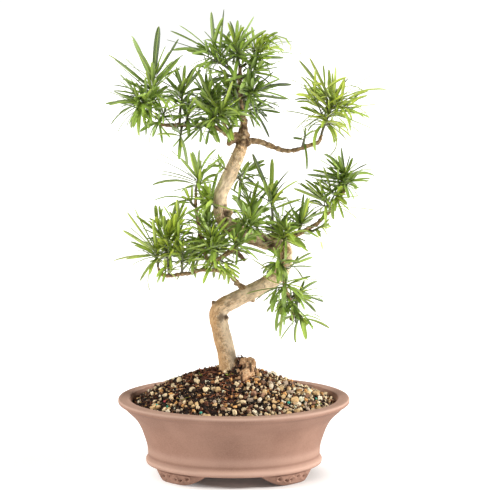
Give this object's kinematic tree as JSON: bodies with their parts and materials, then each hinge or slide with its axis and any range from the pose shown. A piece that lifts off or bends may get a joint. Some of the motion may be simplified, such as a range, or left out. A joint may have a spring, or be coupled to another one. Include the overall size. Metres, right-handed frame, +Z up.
{
  "type": "buddhist pine bonsai",
  "caption": "Buddhist pine bonsai with a bending trunk, tufts of long strap-like leaves and an oval unglazed clay pot on low scrolled feet.",
  "frame": {"origin": "under the middle of the whole plant, on the surface that the pot's feet stand on", "axes": "+Z up, +X to the right and +Y away from the viewer, as the picture shows the plant from its front"},
  "size_m": [0.3, 0.1922, 0.508],
  "materials": {
    "unglazed_clay": "matte, fired, unglazed reddish-brown clay",
    "potting_mix": "loose dark bark and peat with pale mineral granules",
    "screen_plastic": "moulded black mesh",
    "bark": "light tan bark, finely ridged",
    "old_leaf": "glossy dark green leaf",
    "mid_leaf": "glossy mid-green leaf",
    "fresh_leaf": "semi-gloss fresh green leaf",
    "new_leaf": "semi-gloss yellow-green new leaf"
  },
  "bodies": {
    "root": {"pot": "unglazed_clay", "soil": "potting_mix", "drain_screen_left": "screen_plastic", "drain_screen_right": "screen_plastic", "trunk": "bark", "shoot_left_top": "old_leaf", "shoot_left_low": "old_leaf", "shoot_left_mid": "old_leaf", "shoot_left_under": "old_leaf", "shoot_left_inner": "old_leaf", "shoot_inner_front": "mid_leaf", "shoot_apex_left": "old_leaf", "shoot_apex_centre": "old_leaf", "shoot_apex_right": "fresh_leaf", "shoot_apex_low_right": "old_leaf", "shoot_apex_low_left": "old_leaf", "shoot_leader_right": "old_leaf", "shoot_leader_low_right": "old_leaf", "shoot_leader_left": "old_leaf", "shoot_leader_back": "old_leaf", "shoot_right_top": "fresh_leaf", "shoot_right_small": "old_leaf", "shoot_middle_top": "mid_leaf", "shoot_middle_small": "fresh_leaf", "shoot_low_left_end": "mid_leaf", "shoot_low_left_up": "mid_leaf", "shoot_low_left_inner": "old_leaf", "shoot_middle_low": "old_leaf", "shoot_middle_front": "new_leaf", "shoot_middle_right": "old_leaf", "shoot_middle_up": "old_leaf", "shoot_middle_left": "old_leaf", "shoot_middle_back": "old_leaf", "shoot_neck_left": "old_leaf", "shoot_neck_right": "old_leaf", "shoot_shelf_back": "old_leaf", "shoot_shelf_front": "old_leaf", "shoot_shelf_upright": "old_leaf", "shoot_bend_front": "mid_leaf", "shoot_bend_right": "old_leaf", "shoot_bend_tip": "new_leaf", "shoot_bend_back": "old_leaf", "shoot_far_right_top": "old_leaf", "shoot_far_right_low": "mid_leaf", "shoot_droop_top": "mid_leaf", "shoot_droop_side": "mid_leaf", "shoot_droop_mid": "mid_leaf", "shoot_droop_low": "old_leaf", "shoot_droop_tip": "mid_leaf"}
  },
  "joints": []
}
